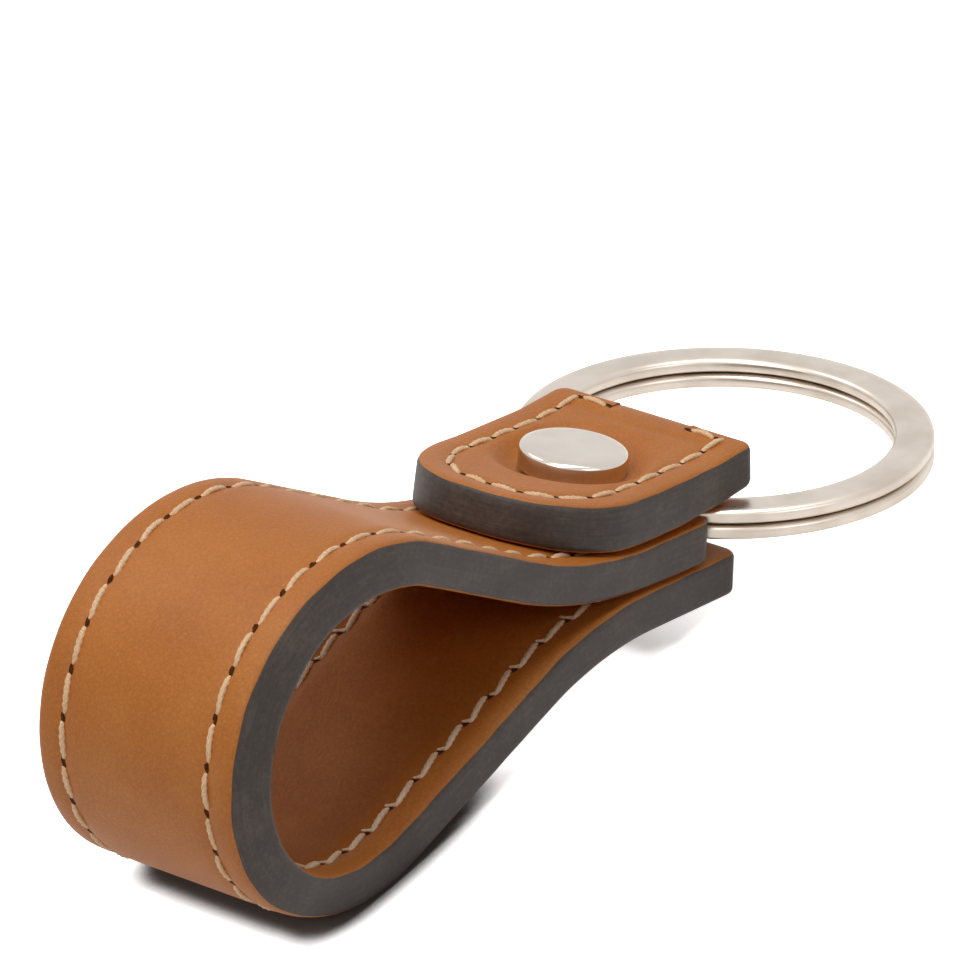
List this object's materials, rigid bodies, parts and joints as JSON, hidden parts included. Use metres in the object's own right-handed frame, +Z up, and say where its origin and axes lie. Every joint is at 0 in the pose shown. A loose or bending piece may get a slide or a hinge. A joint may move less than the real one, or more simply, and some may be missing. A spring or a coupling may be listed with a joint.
{
  "type": "key holder",
  "caption": "Leather strap key holder: a stitched finger loop folded back and riveted under a square tab, with a flat split ring held in the fold.",
  "frame": {"origin": "on the floor the key holder lies on, under the middle of its box", "axes": "+X from the finger loop along the strap to the split ring, +Y across the strap's width, +Z up"},
  "size_m": [0.0919, 0.035, 0.0297],
  "materials": {
    "leather_face": "smooth waxed calf, tan",
    "leather_lining": "smooth waxed calf, tan",
    "ring_nickel": "satin nickel plate",
    "rivet_nickel": "polished nickel plate",
    "thread": "waxed cream thread"
  },
  "bodies": {
    "strap": {"face_ply": "leather_face", "lining_ply": "leather_lining", "tab_backing": "leather_face", "rivet_cap": "rivet_nickel", "rivet_stud": "rivet_nickel", "rivet_back_cap": "rivet_nickel", "thread_front_face": "thread", "thread_back_face": "thread", "thread_front_lining": "thread", "thread_back_lining": "thread", "thread_tab_top": "thread", "thread_tab_under": "thread"},
    "ring": {"split_ring": "ring_nickel"}
  },
  "joints": [
    {"name": "ring_turn", "type": "hinge", "parent": "strap", "child": "ring", "pos_m": [0.02862, 0, 0.00467], "axis": [0.1952, 0, 0.9808], "continuous": true}
  ]
}
